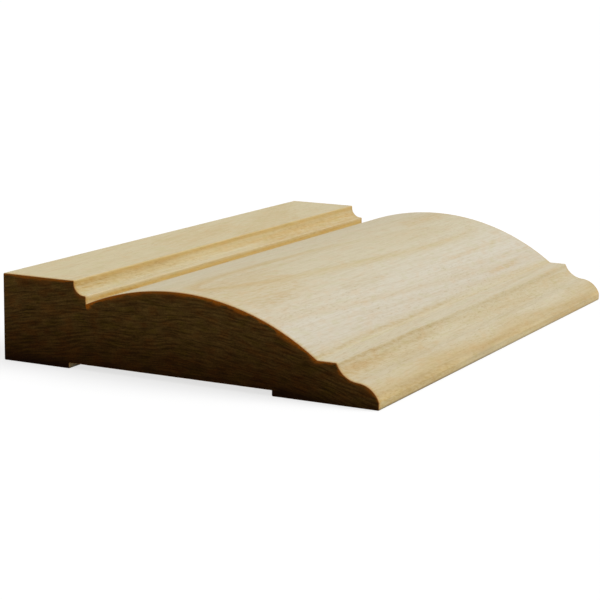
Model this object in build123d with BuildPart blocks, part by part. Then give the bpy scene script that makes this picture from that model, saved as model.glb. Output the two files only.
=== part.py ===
"""A short sawn length of wide casing moulding, the trim that is nailed round a door or window.

The real thing is one stick of clear pale timber, run through a moulder: a flat back with a
shallow relief between two feet, and a moulded face. From the thick outer edge to the thin
inner edge the face is a flat band, a small cove, a sharp quirk, a broad crown, a narrow
fillet and an ogee that dies into the inner edge.

Millimetres. X runs across the width from the outer edge to the inner edge, Y runs along the
grain, and Z stands up off the wall. The origin is the middle of the back.
"""
import os
from math import sqrt

from build123d import *

# The stick
length = 135.0
width = 88.9
thickness = 19.05

# Outer band and the cove that steps down from it
band_width = 18.1
cove_lead = 0.5  # upright lip between the band's face and the cove
cove_radius = 2.5
quirk_ledge = 0.45  # flat between the cove's foot and the quirk's wall
quirk_depth = 1.7

# Fillet and ogee on the inner side, measured up from the back
fillet_height = 8.55
fillet_width = 4.2
ogee_width = 9.35
ogee_radius = 5.3  # one radius for the hollow and the round
edge_height = 1.65

# Relief in the back, between the outer and the inner foot
relief_depth = 1.2
outer_foot_width = 16.8
inner_foot_width = 23.7

# Sanding takes the sharpness off each long arris
arris_radius = 0.35
arris_share_of_ledge = 0.8  # so that the rounding never uses up the narrow ledge or lip

# Places across the width that the sizes above lead to
outer_x = -width / 2
inner_x = width / 2
band_edge_x = outer_x + band_width
cove_top_z = thickness - cove_lead
quirk_x = band_edge_x + cove_radius + quirk_ledge
quirk_top_z = cove_top_z - cove_radius
quirk_z = quirk_top_z - quirk_depth
fillet_end_x = inner_x - ogee_width
fillet_start_x = fillet_end_x - fillet_width


def run_to_crown_top(span, start_drop, end_drop):
    """Distance across from an arc's start to its top, where the arc touches the face plane.

    The arc starts start_drop under the face, ends end_drop under it, and spans span.
    """
    chord_term = span**2 + (end_drop - start_drop) ** 2
    root = sqrt(start_drop * end_drop * chord_term)
    return start_drop * (span**2 + end_drop * (end_drop - start_drop)) / (root + span * start_drop)


# The crown is planed out of the same board as the band, so its top touches the same plane
crown_top_x = quirk_x + run_to_crown_top(
    fillet_start_x - quirk_x,
    thickness - quirk_z,
    thickness - fillet_height,
)

with BuildPart() as casing:
    # Face, edges and a flat back, drawn across the grain and run along it
    with BuildSketch(Plane.XZ):
        with BuildLine():
            outer_edge = Line((outer_x, 0), (outer_x, thickness))
            band = Line(outer_edge @ 1, (band_edge_x, thickness))
            lip = Line(band @ 1, (band_edge_x, cove_top_z))
            cove = JernArc(lip @ 1, (0, -1), cove_radius, 90)
            ledge = Line(cove @ 1, (quirk_x, quirk_top_z))
            quirk_wall = Line(ledge @ 1, (quirk_x, quirk_z))
            crown = ThreePointArc(
                quirk_wall @ 1,
                (crown_top_x, thickness),
                (fillet_start_x, fillet_height),
            )
            fillet_flat = Line(crown @ 1, (fillet_end_x, fillet_height))
            # Hollow and round have one radius, so they meet smoothly halfway
            ogee_start = fillet_flat @ 1
            ogee_end = Vector(inner_x, edge_height)
            ogee_middle = (ogee_start + ogee_end) / 2
            ogee_hollow = RadiusArc(ogee_start, ogee_middle, -ogee_radius)
            ogee_round = RadiusArc(ogee_hollow @ 1, ogee_end, ogee_radius)
            inner_edge = Line(ogee_round @ 1, (inner_x, 0))
            back = Line(inner_edge @ 1, outer_edge @ 0)
        make_face()
    extrude(amount=length / 2, both=True)

    # Long arrises that the sander touches
    long_edges = casing.edges().filter_by(Axis.Y)
    outer_arris = long_edges.sort_by_distance((outer_x, 0, thickness))[0]
    band_arris = long_edges.sort_by_distance((band_edge_x, 0, thickness))[0]
    ledge_arris = long_edges.sort_by_distance((quirk_x, 0, quirk_top_z))[0]
    ogee_arris = long_edges.sort_by_distance((fillet_end_x, 0, fillet_height))[0]
    narrowest_flat = min(cove_lead, quirk_ledge)
    fillet(
        [outer_arris, band_arris, ledge_arris, ogee_arris],
        radius=min(arris_radius, arris_share_of_ledge * narrowest_flat),
    )

    # Relief that lets the two feet bear on an uneven wall
    with BuildSketch(Plane.XZ):
        with Locations((outer_x + outer_foot_width, 0)):
            Rectangle(
                width - outer_foot_width - inner_foot_width,
                relief_depth,
                align=(Align.MIN, Align.MIN),
            )
    extrude(amount=length / 2, both=True, mode=Mode.SUBTRACT)

casing.part.label = "casing_moulding"

os.makedirs("parts", exist_ok=True)
export_step(casing.part, "parts/casing_moulding.step")
print("crown top at x", round(crown_top_x, 2), "volume cm3", round(casing.part.volume / 1000, 2))
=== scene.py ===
"""A short sawn length of wide timber casing, planed and sanded, on its back in a white studio."""

import math

import bpy
import numpy as np
from mathutils import Color, Matrix, Vector


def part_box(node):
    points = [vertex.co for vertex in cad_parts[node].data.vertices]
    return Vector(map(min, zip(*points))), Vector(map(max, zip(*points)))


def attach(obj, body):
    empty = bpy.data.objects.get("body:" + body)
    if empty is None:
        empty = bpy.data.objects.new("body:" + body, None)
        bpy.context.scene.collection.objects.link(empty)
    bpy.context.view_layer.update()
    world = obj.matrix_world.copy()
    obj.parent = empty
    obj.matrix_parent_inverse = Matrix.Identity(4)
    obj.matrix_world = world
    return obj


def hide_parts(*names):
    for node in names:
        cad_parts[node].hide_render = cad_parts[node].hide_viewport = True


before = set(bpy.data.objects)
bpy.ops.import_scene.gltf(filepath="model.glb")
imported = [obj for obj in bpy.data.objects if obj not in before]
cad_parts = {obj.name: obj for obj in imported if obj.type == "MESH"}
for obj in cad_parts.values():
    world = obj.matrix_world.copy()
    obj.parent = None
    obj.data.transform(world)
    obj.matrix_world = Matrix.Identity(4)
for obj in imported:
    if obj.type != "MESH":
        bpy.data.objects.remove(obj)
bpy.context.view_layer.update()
mm = 0.001

# The camera stands to the right of the near end and a little above the stick, with a long
# lens. It is rolled by under a degree, as it was for the picture.
camera_azimuth = math.radians(27.03)
camera_elevation = math.radians(10.83)
camera_roll = math.radians(0.835)
camera_distance = 401.4 * mm
aim_point = Vector((10.96, -36.32, 13.56)) * mm
backwards = Vector((
    math.sin(camera_azimuth) * math.cos(camera_elevation),
    -math.cos(camera_azimuth) * math.cos(camera_elevation),
    math.sin(camera_elevation),
))
camera_data = bpy.data.cameras.new("camera")
camera_data.sensor_width = 36.0
camera_data.lens = 111.74
camera_data.clip_start = 0.01
camera_data.clip_end = 50.0
camera = bpy.data.objects.new("camera", camera_data)
camera.matrix_world = Matrix.LocRotScale(
    aim_point + backwards * camera_distance,
    backwards.to_track_quat("Z", "Y") @ Matrix.Rotation(camera_roll, 3, "Z").to_quaternion(),
    None,
)
bpy.context.scene.collection.objects.link(camera)
bpy.context.scene.camera = camera
bpy.context.scene.view_settings.view_transform = "Standard"


# The stick is one length of clear pale timber. A moulder planes its back flat with a shallow
# relief between two feet, and its face to a band, a cove, a quirk, a crown, a fillet and an
# ogee. It is then sanded, and both ends are cut square by a circular saw.
low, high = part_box("casing_moulding")
outer_x = low.x
inner_x = high.x
thickness = high.z
length = high.y - low.y

band_width = 18.1 * mm
cove_lead = 0.5 * mm
cove_radius = 2.5 * mm
quirk_ledge = 0.45 * mm
quirk_depth = 1.7 * mm
fillet_height = 8.55 * mm
fillet_width = 4.2 * mm
ogee_width = 9.35 * mm
ogee_radius = 5.3 * mm
edge_height = 1.65 * mm
relief_depth = 1.2 * mm
outer_foot_width = 16.8 * mm
inner_foot_width = 23.7 * mm

turned_down = 0.45 * mm  # how far the face and back lines run on round the two side edges
cell = 0.4 * mm  # spacing of points across the stick
fine_cell = 0.3 * mm  # and in the small curves
sanded_radius = 0.4 * mm
sanded_share = 0.8  # the most of a short side that one eased corner takes up
sanded_steps = 3
least_corner = math.radians(15)  # gentler turns belong to a curve and aren't eased


def straight(start, end):
    """Points of a flat cut, without its start."""
    start = Vector(start)
    end = Vector(end)
    steps = max(1, round((end - start).length / cell))
    return [start.lerp(end, i / steps) for i in range(1, steps + 1)]


def curved(start, end, radius, spacing):
    """Points of a round cut, without its start; a negative radius makes a hollow one."""
    chord = end - start
    outwards = Vector((-chord.y, chord.x)).normalized()
    rise = math.sqrt(radius**2 - chord.length_squared / 4)
    centre = (start + end) / 2 - outwards * math.copysign(rise, radius)
    turn = -2 * math.asin(chord.length / (2 * radius))
    steps = math.ceil(abs(turn * radius) / spacing)
    return [
        centre + Matrix.Rotation(turn * i / steps, 2) @ (start - centre)
        for i in range(1, steps + 1)
    ]


def sanded(line, timber_side):
    """The line with its outward corners eased.

    timber_side is 1 where the timber lies to the right of the line, and -1 to the left.
    """
    eased = [line[0]]
    for before, corner, after in zip(line, line[1:], line[2:]):
        turn = (corner - before).angle_signed(after - corner) * timber_side
        if turn < least_corner:
            eased.append(corner)
            continue
        side_before = (corner - before).length
        side_after = (after - corner).length
        shorter = min(side_before, side_after)
        trim = min(sanded_radius * math.tan(turn / 2), sanded_share * shorter)
        first = corner.lerp(before, trim / side_before)
        last = corner.lerp(after, trim / side_after)
        for i in range(sanded_steps + 1):
            share = i / sanded_steps
            eased.append(first.lerp(corner, share).lerp(corner.lerp(last, share), share))
    eased.append(line[-1])
    return eased


# Corners of the face, from the outer edge to the inner edge
outer_corner = Vector((outer_x, thickness))
band_edge = Vector((outer_x + band_width, thickness))
cove_top = band_edge - Vector((0, cove_lead))
cove_foot = cove_top + Vector((cove_radius, -cove_radius))
quirk_top = cove_foot + Vector((quirk_ledge, 0))
quirk_foot = quirk_top - Vector((0, quirk_depth))
fillet_end = Vector((inner_x - ogee_width, fillet_height))
fillet_start = fillet_end - Vector((fillet_width, 0))
edge_top = Vector((inner_x, edge_height))
ogee_middle = (fillet_end + edge_top) / 2

# The crown's arc touches the plane of the band, as both are planed from one board
crown_span = fillet_start.x - quirk_foot.x
crown_rise = thickness - quirk_foot.y
crown_fall = thickness - fillet_start.y
crown_chord = crown_span**2 + (crown_fall - crown_rise) ** 2
crown_run = crown_rise * (crown_span**2 + crown_fall * (crown_fall - crown_rise))
crown_run /= math.sqrt(crown_rise * crown_fall * crown_chord) + crown_span * crown_rise
crown_radius = (crown_run**2 + crown_rise**2) / (2 * crown_rise)

face_line = [outer_corner - Vector((0, turned_down)), outer_corner]
face_line += straight(outer_corner, band_edge)
face_line += straight(band_edge, cove_top)
face_line += curved(cove_top, cove_foot, -cove_radius, fine_cell)
face_line += straight(cove_foot, quirk_top)
face_line += straight(quirk_top, quirk_foot)
face_line += curved(quirk_foot, fillet_start, crown_radius, cell)
face_line += straight(fillet_start, fillet_end)
face_line += curved(fillet_end, ogee_middle, -ogee_radius, fine_cell)
face_line += curved(ogee_middle, edge_top, ogee_radius, fine_cell)
face_line.append(edge_top - Vector((0, turned_down)))
face_line = sanded(face_line, 1)

# The back line has a point for each point of the face line: the relief takes up the count
relief_outer = Vector((outer_x + outer_foot_width, 0))
relief_inner = Vector((inner_x - inner_foot_width, 0))
up_relief = Vector((0, relief_depth))
outer_part = [Vector((outer_x, turned_down)), Vector((outer_x, 0))]
outer_part += straight(outer_part[-1], relief_outer)
outer_part += straight(relief_outer, relief_outer + up_relief)
inner_part = [relief_inner + up_relief]
inner_part += straight(inner_part[-1], relief_inner)
inner_part += straight(relief_inner, (inner_x, 0))
inner_part.append(Vector((inner_x, turned_down)))
outer_part = sanded(outer_part, -1)
inner_part = sanded(inner_part, -1)
relief_steps = len(face_line) - len(outer_part) - len(inner_part) + 1
relief_part = [
    outer_part[-1].lerp(inner_part[0], i / relief_steps) for i in range(1, relief_steps)
]
back_line = outer_part + relief_part + inner_part


class Wire:
    """An output of a node. Python sums and products of it add Math nodes to its tree."""

    def __init__(self, nodes, socket):
        self.nodes = nodes
        self.socket = socket

    def __getitem__(self, name):
        """Another output of the same node."""
        outputs = self.socket.node.outputs
        return Wire(self.nodes, next(s for s in outputs if s.enabled and s.name == name))

    def __add__(self, other):
        return self.nodes.math("ADD", self, other)

    def __sub__(self, other):
        return self.nodes.math("SUBTRACT", self, other)

    def __rsub__(self, other):
        return self.nodes.math("SUBTRACT", other, self)

    def __mul__(self, other):
        return self.nodes.math("MULTIPLY", self, other)

    def __truediv__(self, other):
        return self.nodes.math("DIVIDE", self, other)

    def __pow__(self, other):
        return self.nodes.math("POWER", self, other)

    __radd__ = __add__
    __rmul__ = __mul__


class Nodes:
    """A node tree being built."""

    def __init__(self, tree):
        self.tree = tree
        tree.nodes.clear()

    def add(self, kind, settings=None, values=None):
        """A new node's first output, or the node itself where it has none.

        Its settings are made first, then the values or links of its inputs.
        """
        node = self.tree.nodes.new(kind)
        for name, value in (settings or {}).items():
            if name == "stops":
                stops = node.color_ramp.elements
                while len(stops) < len(value):
                    stops.new(1.0)
                for stop, (position, colour) in zip(stops, value):
                    stop.position = position
                    stop.color = colour
            else:
                setattr(node, name, value)
        for key, value in (values or {}).items():
            if isinstance(key, int):
                socket = node.inputs[key]
            else:
                socket = next(s for s in node.inputs if s.enabled and s.name == key)
            if isinstance(value, Wire):
                self.tree.links.new(value.socket, socket)
            else:
                socket.default_value = value
        first = next((s for s in node.outputs if s.enabled), None)
        return Wire(self, first) if first else node

    def math(self, operation, *values):
        return self.add("ShaderNodeMath", {"operation": operation}, dict(enumerate(values)))

    def mix(self, kind, share, start, end):
        """Numbers, vectors or colours mixed by share."""
        return self.add(
            "ShaderNodeMix", {"data_type": kind}, {"Factor": share, "A": start, "B": end}
        )

    def vector(self, x=0.0, y=0.0, z=0.0):
        return self.add("ShaderNodeCombineXYZ", None, {"X": x, "Y": y, "Z": z})

    def axes_of(self, vector):
        """A vector's parts, to be taken by the names X, Y and Z."""
        return self.add("ShaderNodeSeparateXYZ", None, {"Vector": vector})

    def vector_math(self, operation, first, second):
        return self.add("ShaderNodeVectorMath", {"operation": operation}, {0: first, 1: second})

    def noise(self, place, sizes, detail=2.0, roughness=0.5):
        """Smooth noise, 0 to 1, whose patches have these sizes along X, Y and Z."""
        scaled = self.vector_math("DIVIDE", place, sizes)
        return self.add(
            "ShaderNodeTexNoise",
            None,
            {"Vector": scaled, "Scale": 1.0, "Detail": detail, "Roughness": roughness},
        )


# Geometry Nodes lay a fine block of cells between the face line and the back line and run it
# the length of the stick. They ease the sawn arrises, raise the grain and leave the saw marks.
shape = Nodes(bpy.data.node_groups.new("moulded_stick", "GeometryNodeTree"))
shape_inputs = {
    "Lines": ("NodeSocketGeometry", None),
    "Length": ("NodeSocketFloat", length),
    "Rows": ("NodeSocketInt", 112),
    "Courses": ("NodeSocketInt", 25),
    "Arris Rows": ("NodeSocketInt", 3),
    "Arris": ("NodeSocketFloat", 0.22 * mm),
    "Raised Grain": ("NodeSocketFloat", 0.03 * mm),
    "Saw Mark Depth": ("NodeSocketFloat", 0.05 * mm),
    "Saw Mark Pitch": ("NodeSocketFloat", 1.7 * mm),
    "Saw Radius": ("NodeSocketFloat", 125.0 * mm),
    "Seed": ("NodeSocketFloat", 4.0),
}
for name, (kind, _) in shape_inputs.items():
    shape.tree.interface.new_socket(name=name, in_out="INPUT", socket_type=kind)
shape.tree.interface.new_socket(name="Stick", in_out="OUTPUT", socket_type="NodeSocketGeometry")
given = shape.add("NodeGroupInput")

# The block starts as a unit cube about the origin: one column of cells for each point of the
# lines, one row for each place along the stick, and one course for each layer under the face
half_block = 0.5
columns = shape.add("GeometryNodeAttributeDomainSize", None, {"Geometry": given["Lines"]})
block = shape.add(
    "GeometryNodeMeshCube",
    None,
    {
        "Size": (1.0, 1.0, 1.0),
        "Vertices X": columns,
        "Vertices Y": given["Rows"],
        "Vertices Z": given["Courses"],
    },
)
block_place = shape.axes_of(shape.add("GeometryNodeInputPosition"))
column = shape.add(
    "FunctionNodeFloatToInt",
    {"rounding_mode": "ROUND"},
    {"Float": (block_place["X"] + half_block) * (columns - 1)},
)
row = (block_place["Y"] + half_block) * (given["Rows"] - 1)
up = block_place["Z"] + half_block


def on_lines(attribute, kind):
    """What the given lines hold at this column."""
    value = shape.add("GeometryNodeInputNamedAttribute", {"data_type": kind}, {"Name": attribute})
    return shape.add(
        "GeometryNodeSampleIndex",
        {"data_type": kind, "domain": "POINT"},
        {"Geometry": given["Lines"], "Value": value, "Index": column},
    )


face_place = on_lines("position", "FLOAT_VECTOR")
back_place = on_lines("back_place", "FLOAT_VECTOR")
place = shape.mix("VECTOR", up, back_place, face_place)
face_outward = on_lines("face_outward", "FLOAT_VECTOR")
back_outward = on_lines("back_outward", "FLOAT_VECTOR")
outward = shape.mix("VECTOR", up, back_outward, face_outward)

# The finish needs to know how far each point is across the face and how deep under it
depth = shape.vector_math("DISTANCE", face_place, back_place)
measures = {
    "across_face": on_lines("across_face", "FLOAT"),
    "under_face": depth * (1 - up),
}
for name, value in measures.items():
    block = shape.add(
        "GeometryNodeStoreNamedAttribute",
        {"data_type": "FLOAT", "domain": "POINT"},
        {"Geometry": block, "Name": name, "Value": value},
    )

# Rows crowd together where the arris turns over into the sawn end
from_end = shape.math("MINIMUM", row, given["Rows"] - 1 - row)
over_arris = shape.math("MINIMUM", from_end / given["Arris Rows"], 1.0) * (math.pi / 2)
pitch = (given["Length"] - 2 * given["Arris"]) / (given["Rows"] - 1 - 2 * given["Arris Rows"])
setback = given["Arris"] * (1 - shape.math("COSINE", over_arris))
setback = setback + shape.math("MAXIMUM", from_end - given["Arris Rows"], 0.0) * pitch
which_end = shape.math("SIGN", block_place["Y"])
along = which_end * (given["Length"] / 2 - setback)

# Grain stands up in long low ridges, and the sawn arris is a little ragged
ridge_sizes = (0.9 * mm, 45.0 * mm, 0.9 * mm)
ragged_sizes = (1.6 * mm, 1.6 * mm, 1.6 * mm)
least_arris = 0.5  # share of the arris that is always there; noise adds about as much again
seeded = shape.vector_math("ADD", place, shape.vector(given["Seed"], along, given["Seed"]))
ridges = shape.noise(seeded, ridge_sizes)
ragged = shape.noise(seeded, ragged_sizes)
inset = given["Arris"] * (1 - shape.math("SINE", over_arris)) * (least_arris + ragged)
inset = inset + given["Raised Grain"] * ridges

# Saw marks are shallow arcs of the blade's rim with torn fibres among them, only on the ends
mark_wander = 0.6  # of the marks' pitch
mark_share = 0.3  # of their depth; torn fibres give the rest
torn_sizes = (0.8 * mm, 1.0, 2.4 * mm)
half_row = 0.5  # nothing but the last row lies this close to its end
section_axes = shape.axes_of(place)
blade = section_axes["X"] + section_axes["Z"] ** 2 / (2 * given["Saw Radius"])
mark_turns = (blade / given["Saw Mark Pitch"] + ragged * mark_wander) * (2 * math.pi)
marks = shape.math("SINE", mark_turns) * mark_share + shape.noise(seeded, torn_sizes)
at_end = shape.math("LESS_THAN", from_end, half_row)
sawn = which_end * at_end * given["Saw Mark Depth"] * shape.math("MAXIMUM", marks, 0.0)

drawn_in = shape.add(
    "ShaderNodeVectorMath", {"operation": "SCALE"}, {0: outward, "Scale": inset}
)
moved = shape.vector_math("SUBTRACT", place, drawn_in)
moved = shape.vector_math("ADD", moved, shape.vector(0.0, along - sawn, 0.0))
stick = shape.add("GeometryNodeSetPosition", None, {"Geometry": block, "Position": moved})

# Corners of the cuts are shaded as sharp, and the faces that point along the grain are sawn
sharp_turn = math.radians(40)
end_facing = 0.85
turn_at_edge = shape.add("GeometryNodeInputMeshEdgeAngle")
stick = shape.add(
    "GeometryNodeSetShadeSmooth",
    {"domain": "EDGE"},
    {
        "Geometry": stick,
        "Selection": shape.math("GREATER_THAN", turn_at_edge, sharp_turn),
        "Shade Smooth": False,
    },
)
facing = shape.axes_of(shape.add("GeometryNodeInputNormal"))
end_faces = shape.math("GREATER_THAN", shape.math("ABSOLUTE", facing["Y"]), end_facing)
planed = bpy.data.materials.new("planed_timber")
end_grain = bpy.data.materials.new("sawn_end_grain")
stick = shape.add("GeometryNodeRealizeInstances", None, {"Geometry": stick})
stick = shape.add("GeometryNodeSetMaterial", None, {"Geometry": stick, "Material": planed})
stick = shape.add(
    "GeometryNodeSetMaterial",
    None,
    {"Geometry": stick, "Selection": end_faces, "Material": end_grain},
)
shape.add("NodeGroupOutput", None, {"Stick": stick})


def outwards_of(line, timber_side):
    """Unit vectors square to a line, pointing away from the timber."""
    steps = np.gradient(np.array(line), axis=0)
    steps /= np.linalg.norm(steps, axis=1)[:, None]
    return np.stack([-steps[:, 1], np.zeros(len(steps)), steps[:, 0]], axis=1) * timber_side


def in_section(line):
    return np.array([(point.x, 0.0, point.y) for point in line])


lines = bpy.data.meshes.new("face_line")
lines.from_pydata(in_section(face_line).tolist(), [], [])
steps_across = [(b - a).length for a, b in zip(face_line, face_line[1:])]
distance_across = np.cumsum([0.0] + steps_across)
held_on_lines = {
    "back_place": ("FLOAT_VECTOR", in_section(back_line)),
    "back_outward": ("FLOAT_VECTOR", outwards_of(back_line, -1)),
    "face_outward": ("FLOAT_VECTOR", outwards_of(face_line, 1)),
    "across_face": ("FLOAT", distance_across),
}
for name, (kind, values) in held_on_lines.items():
    attribute = lines.attributes.new(name, kind, "POINT")
    field = "vector" if kind == "FLOAT_VECTOR" else "value"
    attribute.data.foreach_set(field, values.astype(np.float32).ravel())

casing = bpy.data.objects.new("casing", lines)
bpy.context.scene.collection.objects.link(casing)
moulder = casing.modifiers.new("moulder", "NODES")
moulder.node_group = shape.tree
for item in shape.tree.interface.items_tree:
    kind, value = shape_inputs.get(item.name, (None, None))
    if value is not None:
        moulder[item.identifier] = value
evaluated = casing.evaluated_get(bpy.context.evaluated_depsgraph_get())
casing.data = bpy.data.meshes.new_from_object(evaluated)
casing.modifiers.clear()
casing.data.name = "casing"


def paint(red, green, blue):
    """A colour written as it looks on a screen, each part 0 to 255."""
    on_screen = Color((red / 255, green / 255, blue / 255))
    return [*on_screen.from_srgb_to_scene_linear(), 1.0]


def at(corner):
    """How far across the face a corner lies, in millimetres."""
    nearest = min(range(len(face_line)), key=lambda i: (face_line[i] - corner).length)
    return distance_across[nearest] / mm


class Finish(Nodes):
    """A timber finish, with the places and the growth rings that planed and sawn wood share.

    Growth rings are wide arcs about a pith far below the board. The moulded face cuts them so
    flat that one ring shows as a long loop on the crown. Sizes here are in millimetres.
    """

    ring_radius = 160.0
    pith_offset = -14.1  # across the width, from the middle of the stick
    pith_lean = -0.1378  # how far the pith moves across for each millimetre along
    ring_level = 19.534  # how high the loop's ring stands over the pith, halfway along
    ring_slope = 0.01559  # how far it climbs for each millimetre along
    ring_bow = 0.000141  # and how that climb bends
    bump_strength = 0.7
    face_width = distance_across[-1] / mm

    def __init__(self, material):
        material.use_nodes = True
        super().__init__(material.node_tree)
        in_metres = self.add("ShaderNodeTexCoord")["Object"]
        self.place = self.vector_math("DIVIDE", in_metres, (mm, mm, mm))
        axes = self.axes_of(self.place)
        self.x = axes["X"]
        self.y = axes["Y"]
        self.z = axes["Z"]
        self.across = self.measure("across_face")
        self.under = self.measure("under_face")
        level = self.ring_level + self.y * self.ring_slope + self.y * self.y * self.ring_bow
        from_pith = self.x - self.y * self.pith_lean - self.pith_offset
        self.ring = self.z + from_pith**2 / (2 * self.ring_radius) - level

    def measure(self, name):
        """What the stick's mesh holds under this name."""
        return self.add("ShaderNodeAttribute", {"attribute_name": name})["Fac"] / mm

    def rise(self, value, start, end, low=0.0, high=1.0):
        """Goes smoothly from low at start to high at end."""
        return self.add(
            "ShaderNodeMapRange",
            {"interpolation_type": "SMOOTHSTEP"},
            {"Value": value, "From Min": start, "From Max": end, "To Min": low, "To Max": high},
        )

    def fall(self, value, start, end, low=0.0, high=1.0):
        """Goes smoothly from high at start to low at end."""
        return self.rise(value, start, end, low=high, high=low)

    def streak(self, value, middle, half_width):
        """1 along the middle, falling smoothly to 0 on both sides."""
        return self.fall(self.math("ABSOLUTE", value - middle), 0.0, half_width)

    def over_face(self, value, stops):
        """A colour that changes across the face. Each stop is a place on it and a colour."""
        return self.add(
            "ShaderNodeValToRGB",
            {"stops": [(place / self.face_width, colour) for place, colour in stops]},
            {"Fac": value / self.face_width},
        )

    def covered(self, base, share, shade):
        """The base covered with a shade, by share."""
        return self.mix("RGBA", share, base, paint(*shade))

    def toned(self, base, share, shade):
        """The base multiplied by a shade, by share."""
        return self.add(
            "ShaderNodeMix",
            {"data_type": "RGBA", "blend_type": "MULTIPLY"},
            {"Factor": share, "A": base, "B": paint(*shade)},
        )

    def layered(self, base, layers):
        """The base toned by layers.

        Each layer is a pattern, the values where it starts and where it is full, its strength
        and its shade.
        """
        for pattern, start, full, strength, shade in layers:
            base = self.toned(base, self.rise(pattern, start, full) * strength, shade)
        return base

    def finish(self, colour, roughness, height, relief, gloss):
        bump = self.add(
            "ShaderNodeBump",
            None,
            {"Strength": self.bump_strength, "Distance": relief, "Height": height},
        )
        surface = self.add(
            "ShaderNodeBsdfPrincipled",
            None,
            {
                "Base Color": colour,
                "Roughness": roughness,
                "Specular IOR Level": gloss,
                "Normal": bump,
            },
        )
        self.add("ShaderNodeOutputMaterial", None, {"Surface": surface})


# Planed and sanded faces: pale timber, khaki on the band, greyer down the crown, and golden
# in the cove, at the quirk, in the ogee and down the thin edge. These changes are partly the
# timber's own tone and partly painted light and shade: painted shade in the hollows and down
# the steep thin edge, painted light on the crown's slope towards the lamp and on the edge's flat
wood = Finish(planed)
timber = (205, 191, 155)
khaki = (204, 191, 154)
honey = (204, 176, 113)
sand = (198, 182, 139)
putty = (200, 190, 157)
cream = (206, 195, 164)
amber = (208, 180, 112)
stone = (204, 191, 157)
dove = (203, 193, 165)
ash = (206, 199, 182)
smoke = (201, 193, 175)
fawn = (199, 188, 158)
ivory = (208, 198, 172)
oat = (203, 192, 164)
biscuit = (197, 183, 149)
tan = (196, 178, 137)
straw = (216, 199, 154)
buff = (212, 193, 152)
flax = (206, 187, 143)
arris_shading_brown = (160, 98, 34)

# Shades that deepen what they lie on
ring_shade = (245, 230, 199)
loop_shade = (248, 239, 217)
greenish = (246, 247, 226)
pinkish = (255, 243, 228)
brown_shade = (230, 212, 170)
golden_shade = (245, 222, 176)
fibre_shade = (238, 229, 212)
grit_shade = (238, 230, 212)
fleck_shade = (216, 200, 168)
near_end_tone = (247, 232, 198)
# painted contact shadow, for the lowest part of the stick
contact_shadow_tone = (166, 161, 150)

# Colours across the face, from the outer edge in. Their golden in the hollows and down the steep
# thin edge is partly painted shade, the pale grey on the crown's slope towards the lamp is partly
# painted light, and the last straw on the flat of the thin edge is painted light
face_colours = [
    (at(band_edge) - 0.4, khaki),
    (at(cove_top) - 0.1, honey),
    (at(cove_top) + 0.2, honey),
    (at(cove_top) + 0.8, sand),
    (at(cove_top) + 1.7, sand),
    (at(cove_foot) - 1.4, putty),
    (at(quirk_top), cream),
    (at(quirk_top) + 0.95, amber),
    (at(quirk_foot) - 0.3, amber),
    (at(quirk_foot) + 0.1, stone),
    (at(quirk_foot) + 15.0, dove),
    (at(fillet_start) - 24.0, dove),
    (at(fillet_start) - 10.0, ash),
    (at(fillet_start) - 3.0, smoke),
    (at(fillet_start) - 0.1, fawn),
    (at(fillet_start) + 0.2, ivory),
    (at(fillet_end) - 0.6, ivory),
    (at(fillet_end) + 0.3, fawn),
    (at(fillet_end) + 2.6, fawn),
    (at(ogee_middle) + 0.8, oat),
    (at(edge_top) - 3.6, biscuit),
    (at(edge_top) - 2.2, tan),
    (at(edge_top) - 1.2, tan),
    (at(edge_top) + 0.4, straw),
]
# Colours wander a little in the ogee's round
waver = wood.noise(wood.place, (9.0, 26.0, 9.0), detail=3.0) - 0.5
most_wander = wood.rise(wood.across, at(ogee_middle) - 2.2, at(ogee_middle) + 2.8, high=5.0)
moulded = wood.over_face(
    wood.across + waver * most_wander,
    [(place, paint(*shade)) for place, shade in face_colours],
)
# The quirk's wall is paler at the near end
on_wall = wood.streak(wood.across, at(quirk_foot) - 0.44, 0.8)
moulded = wood.covered(moulded, on_wall * wood.fall(wood.y, -67.0, -59.0, high=0.85), buff)
# Cutters have lifted fibres from the cove to the quirk. They lean a little off the grain.
fibre_lean = 0.18
torn = wood.vector(wood.across - wood.y * fibre_lean, wood.y, wood.under)
lifted = wood.noise(torn, (0.5, 7.0, 0.5), detail=3.0, roughness=0.6)
rubbed = wood.rise(wood.across, at(band_edge) - 0.1, at(band_edge) + 0.3)
rubbed = rubbed * wood.fall(wood.across, at(quirk_foot) - 0.2, at(quirk_foot) + 0.4)
moulded = wood.covered(moulded, rubbed * wood.rise(lifted, 0.45, 0.7, high=0.4), flax)
# The edges and the back are the plain timber behind the moulded face
behind = wood.rise(wood.under, 1.4, 6.0)
colour = wood.covered(moulded, behind, timber)

# Growth shows as soft lengthwise bands, finer lines beside them, and the one long loop
in_rings = wood.vector(wood.ring, wood.y, wood.x)
growth = wood.noise(in_rings, (0.9, 240.0, 40.0), detail=2.0)
fine_growth = wood.noise(in_rings, (0.11, 130.0, 9.0), detail=2.0, roughness=0.6)
colour = wood.layered(colour, [
    (growth, 0.45, 0.75, 0.35 + behind * 0.35, ring_shade),
    (fine_growth, 0.45, 0.75, 0.25 + behind * 0.4, ring_shade),
])
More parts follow.
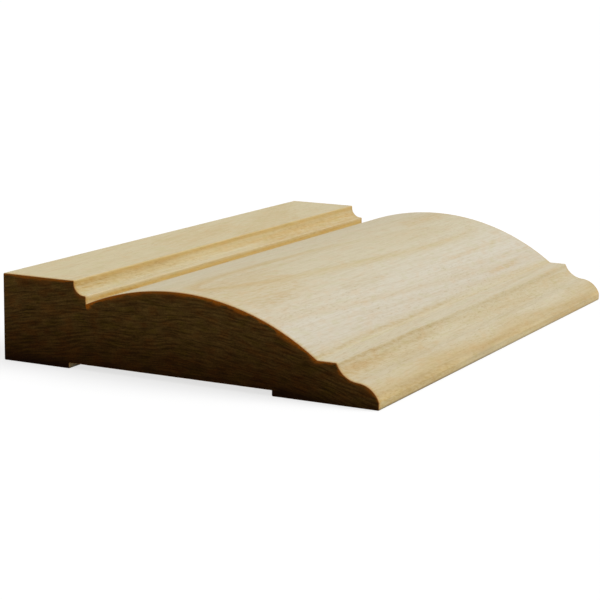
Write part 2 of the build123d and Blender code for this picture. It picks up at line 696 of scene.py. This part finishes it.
# The loop is the ring that the crown cuts through near its top. Its middle drifts across the
# face, and its far end is lost. The breadths are in millimetres, measured square to it.
loop_across = 54.6  # where its middle is, across the face and along the stick
loop_along = -2.0
loop_drift = 0.0875  # how far its middle moves across for each millimetre along
loop_half_width = 6.25
loop_half_length = 61.0
loop_bluntness = 2.6
loop_line_half = 2.2
least_slope = 0.001  # keeps the division sound in the loop's middle
patches = wood.noise(wood.place, (12.0, 40.0, 12.0))
loop_middle = loop_across + wood.y * loop_drift
out_across = (wood.across - loop_middle) / loop_half_width
out_along = wood.math("ABSOLUTE", wood.y - loop_along) / loop_half_length
outside = out_across**2 + out_along**loop_bluntness - 1.0
slope_across = out_across * 2.0 / loop_half_width
slope_along = out_along ** (loop_bluntness - 1) * loop_bluntness / loop_half_length
steepness = wood.math("SQRT", slope_across**2 + slope_along**2)
off_loop = outside / (steepness + least_slope)
upper_arm = wood.fall(out_across, -0.5, 0.5)
lost = wood.rise(wood.y, -5.0, 25.0, high=0.7) * upper_arm
lost = lost + wood.rise(wood.y, 35.0, 55.0, high=0.5)
loop = wood.streak(off_loop, 0.0, loop_line_half) * (1 - lost) * (0.55 + patches * 0.6)
colour = wood.toned(colour, loop, loop_shade)

# Streaks and smudges along the board. Those in the cove and quirk, where the fillet meets the
# crown and the ogee, in the ogee's hollow and down the thin edge are partly painted shade there.
# Each row is its middle across the face, half its breadth, where it starts and ends along the
# stick, and its strength.
brown_marks = [
    (80.8, 0.90, -80.0, 21.0, 0.40),
    (80.9, 0.70, -68.5, -62.0, 0.45),
    (86.6, 0.70, -90.0, 6.0, 0.50),
    (87.0, 0.90, -10.0, 70.0, 0.25),
    (88.2, 2.20, -90.0, -46.0, 0.40),
    (88.0, 1.60, -58.0, -14.0, 0.45),
    (90.6, 3.40, -90.0, -18.0, 0.20),
    (63.2, 3.00, -66.0, -42.0, 0.30),
    (67.2, 2.60, -34.0, -4.0, 0.25),
    (98.4, 2.80, -90.0, -14.0, 0.60),
    (89.0, 2.60, -20.0, 80.0, 0.25),
    (19.1, 1.00, -90.0, -14.0, 0.40),
    (20.5, 2.00, -90.0, -10.0, 0.40),
    (24.1, 0.70, -90.0, -38.0, 0.60),
    (19.5, 0.25, -72.0, -50.0, 0.50),
    (20.3, 0.22, -70.0, -54.0, 0.50),
]
golden_marks = [
    (9.0, 10.00, -24.0, 28.0, 0.25),
    (58.5, 14.00, -90.0, -26.0, 0.30),
    (78.0, 1.30, 28.0, 56.0, 0.45),
    (69.4, 1.10, 14.0, 68.0, 0.30),
    (49.5, 4.50, 36.0, 72.0, 0.40),
    (20.3, 1.20, -26.0, 90.0, 0.40),
    (22.0, 2.60, 0.0, 90.0, 0.60),
    (88.5, 2.60, -90.0, -40.0, 0.35),
    (97.2, 1.30, -30.0, 30.0, 0.30),
    (97.9, 1.00, 20.0, 90.0, 0.30),
    (98.8, 0.60, 0.0, 90.0, 0.25),
]
grit = wood.noise(torn, (0.45, 2.6, 0.45), detail=3.0, roughness=0.7)
broken = wood.rise(grit, 0.35, 0.65, low=0.6, high=1.3)
mark_waver = 1.6
wavy = wood.across + waver * mark_waver


def marked(base, marks, shade):
    """The base with the marks laid on it in one shade, a little wavy and broken by torn fibres."""
    laid = 0.0
    for middle, half_breadth, start, end, strength in marks:
        half_span = (end - start) / 2
        along = wood.rise(wood.streak(wood.y, start + half_span, half_span), 0.0, 0.5)
        laid = wood.streak(wavy, middle, half_breadth) * along * strength + laid
    return wood.toned(base, laid * broken, shade)


# Fibres and short brown flecks run with the grain
fibre = wood.noise(wood.place, (0.4, 12.0, 0.4), detail=4.0, roughness=0.65)
flecks = wood.noise(wood.place, (0.24, 1.7, 0.24), detail=1.0)
flecks = wood.rise(flecks, 0.60, 0.74) * wood.rise(patches, 0.35, 0.6)
mottle = wood.noise(wood.place, (2.0, 5.0, 2.0), detail=3.0, roughness=0.6)
colour = wood.layered(colour, [
    (mottle, 0.50, 0.70, 0.50, greenish),
    (1 - mottle, 0.50, 0.70, 0.50, pinkish),
])
colour = marked(colour, brown_marks, brown_shade)
colour = marked(colour, golden_marks, golden_shade)
colour = wood.layered(colour, [
    (fibre, 0.40, 0.75, 0.50, fibre_shade),
    (grit, 0.45, 0.70, 0.40, grit_shade),
])
colour = wood.toned(colour, flecks * 0.45, fleck_shade)

# The last millimetre of each face before the sawn end is a little darker and warmer, and the
# very edge is painted orange-brown: painted light and shade across the rounded sawn arris
half_length = length / mm / 2
to_sawn_end = half_length - wood.math("ABSOLUTE", wood.y)
near_end_warmth = wood.fall(to_sawn_end, 0.1, 1.3) * (0.6 + patches * 0.6)
colour = wood.toned(colour, near_end_warmth, near_end_tone)
# Painted light and shade across the rounded sawn arris, in orange-brown
face_arris_shading = wood.fall(to_sawn_end, 0.02, 0.26) * (0.2 + patches)
colour = wood.covered(colour, face_arris_shading, arris_shading_brown)
# Everything within half a millimetre or so of the floor, the back included, is darkened, most
# towards the near end: a painted contact shadow along the lower arrises
painted_contact_shadow = wood.fall(wood.z, 0.1, 0.7) * wood.fall(wood.y, -50.0, 60.0, low=0.5)
colour = wood.toned(colour, painted_contact_shadow, contact_shadow_tone)
wood.finish(
    colour,
    roughness=0.5 + fibre * 0.2,
    height=fibre * 0.6 + fine_growth * 0.3 - flecks * 0.4,
    relief=0.05 * mm,
    gloss=0.3,
)

# Sawn ends: open dark brown end grain with fine rings, darkest at the back, and an uneven
# orange rim under the moulded face. The dark brown is partly the end grain's own colour and
# partly painted shade; the darkening at the back is painted shade, and the rim is painted
# light and shade across the rounded sawn arris
ends = Finish(end_grain)
# These browns are written as dark as a shaded end: partly the end grain's own colour, partly
# painted shade
early_wood = (107, 81, 38)
late_wood = (70, 48, 18)
warm_brown = (118, 68, 20)
# The rim's orange is painted light and shade across the rounded sawn arris
arris_light_orange = (180, 98, 16)
fuzz_shade = (180, 174, 160)
crack_shade = (150, 140, 130)
reddish = (255, 234, 214)
olive = (240, 246, 206)
blotch_shade = (222, 208, 190)
# Painted shade towards the back of the end, deepest at its foot
low_painted_shade = (174, 150, 115)
foot_painted_shadow = (144, 122, 110)
ring_drift = 2.8
drift = ends.noise(ends.place, (16.0, 16.0, 9.0)) - 0.5
section_place = ends.vector(ends.x, ends.ring + drift * ring_drift, 0.0)
rings = ends.noise(section_place, (5.0, 0.42, 1.0), detail=4.0, roughness=0.7)
cracks = ends.noise(section_place, (7.0, 0.3, 1.0), detail=2.0)
fuzz = ends.noise(ends.place, (0.45, 0.3, 0.3), detail=3.0, roughness=0.8)
blotches = ends.noise(ends.place, (3.0, 3.0, 1.6), detail=3.0)
hue = ends.noise(ends.place, (3.4, 2.0, 1.9), detail=3.0)
colour = ends.covered(paint(*late_wood), ends.rise(rings, 0.35, 0.65), early_wood)
colour = ends.layered(colour, [
    (fuzz, 0.40, 0.65, 0.60, fuzz_shade),
    (cracks, 0.60, 0.72, 0.70, crack_shade),
    (hue, 0.48, 0.66, 1.00, reddish),
    (1 - hue, 0.50, 0.68, 1.00, olive),
    (blotches, 0.40, 0.70, 0.50, blotch_shade),
])
# Painted shade darkens it towards the back, where it lies on the floor, more on the thick side
thick_side = ends.fall(ends.x, 22.0, 42.0, low=0.45)
colour = ends.toned(colour, ends.fall(ends.z, 0.0, 15.0) * thick_side, low_painted_shade)
colour = ends.toned(colour, ends.fall(ends.z, 0.0, 3.0) * thick_side, foot_painted_shadow)
warmed = ends.fall(ends.under, 0.1, 2.2) * ends.rise(blotches, 0.3, 0.6, high=0.35)
colour = ends.covered(colour, warmed, warm_brown)
# The rim is painted light and shade across the rounded sawn arris. It is strongest at the quirk
# and down the crown, and reaches deepest there
rim_strengths = [
    (0.0, 0.50),
    (at(band_edge) - 1.0, 0.55),
    (at(band_edge) + 0.2, 0.20),
    (at(cove_foot), 0.20),
    (at(quirk_foot), 1.00),
    (at(quirk_foot) + 4.0, 0.60),
    (at(quirk_foot) + 17.0, 0.45),
    (at(fillet_start) - 26.0, 0.75),
    (at(fillet_start) - 2.0, 0.75),
    (at(fillet_end) + 2.0, 0.40),
    (at(edge_top), 0.30),
]
rim_strength = ends.over_face(
    ends.across,
    [(place, [strength, strength, strength, 1.0]) for place, strength in rim_strengths],
)
deep_at_quirk = ends.streak(ends.across, at(quirk_foot) + 0.8, 3.0) * 0.6
deep_on_crown = ends.streak(ends.across, at(fillet_start) - 14.0, 20.0) * 0.35
rim_depth = 0.6 + deep_at_quirk + deep_on_crown
rim_depth = rim_depth * ends.rise(blotches, 0.35, 0.65, low=0.45, high=1.55)
ragged_rim = ends.rise(fuzz, 0.3, 0.65, low=0.4, high=1.5)
rim = ends.fall(ends.under / rim_depth, 0.0, 1.0) * rim_strength * ragged_rim
colour = ends.covered(colour, rim, arris_light_orange)
ends.finish(
    colour,
    roughness=0.85 + fuzz * 0.1,
    height=rings * 0.8 + fuzz * 0.5,
    relief=0.08 * mm,
    gloss=0.05,
)

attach(casing, "root")
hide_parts("casing_moulding")


# The studio: a pale floor, and soft light from high up on the thin edge's side and a little
# behind the stick. The floor shows white round the faint shadow.
floor_half = 12.0
floor_tone = 0.34
floor_glow = 0.7
sky_level = 0.5
light_power = 1.95
light_spread = math.radians(40)
towards_light = Vector((0.62, 0.25, 0.75))

floor_corners = [(-1, -1, 0), (1, -1, 0), (1, 1, 0), (-1, 1, 0)]
floor_mesh = bpy.data.meshes.new("floor")
floor_mesh.from_pydata([Vector(c) * floor_half for c in floor_corners], [], [(0, 1, 2, 3)])
floor = bpy.data.objects.new("floor", floor_mesh)
bpy.context.scene.collection.objects.link(floor)
floor_paint = bpy.data.materials.new("floor_paint")
floor_paint.use_nodes = True
floor_mesh.materials.append(floor_paint)


def seen(nodes):
    """1 for rays that show the backdrop: to the camera, in a reflection or through glass."""
    path = nodes.add("ShaderNodeLightPath")
    seen_at_all = nodes.math("MAXIMUM", path["Is Camera Ray"], path["Is Glossy Ray"])
    return nodes.math("MAXIMUM", seen_at_all, path["Is Transmission Ray"])


studio = Nodes(floor_paint.node_tree)
matt_colour = (floor_tone, floor_tone, floor_tone, 1.0)
matt = studio.add("ShaderNodeBsdfDiffuse", None, {"Color": matt_colour})
glow = studio.add("ShaderNodeEmission", None, {"Strength": seen(studio) * floor_glow})
both = studio.add("ShaderNodeAddShader", None, {0: matt, 1: glow})
studio.add("ShaderNodeOutputMaterial", None, {"Surface": both})

sky = bpy.data.worlds.new("studio")
sky.use_nodes = True
bpy.context.scene.world = sky
sky_nodes = Nodes(sky.node_tree)
white_where_seen = sky_level + seen(sky_nodes) * (1.0 - sky_level)
backdrop = sky_nodes.add(
    "ShaderNodeBackground",
    None,
    {"Color": (1.0, 1.0, 1.0, 1.0), "Strength": white_where_seen},
)
sky_nodes.add("ShaderNodeOutputWorld", None, {"Surface": backdrop})

softbox_data = bpy.data.lights.new("softbox", "SUN")
softbox_data.energy = light_power
softbox_data.angle = light_spread
softbox = bpy.data.objects.new("softbox", softbox_data)
softbox.rotation_mode = "QUATERNION"
softbox.rotation_quaternion = towards_light.to_track_quat("Z", "Y")
bpy.context.scene.collection.objects.link(softbox)
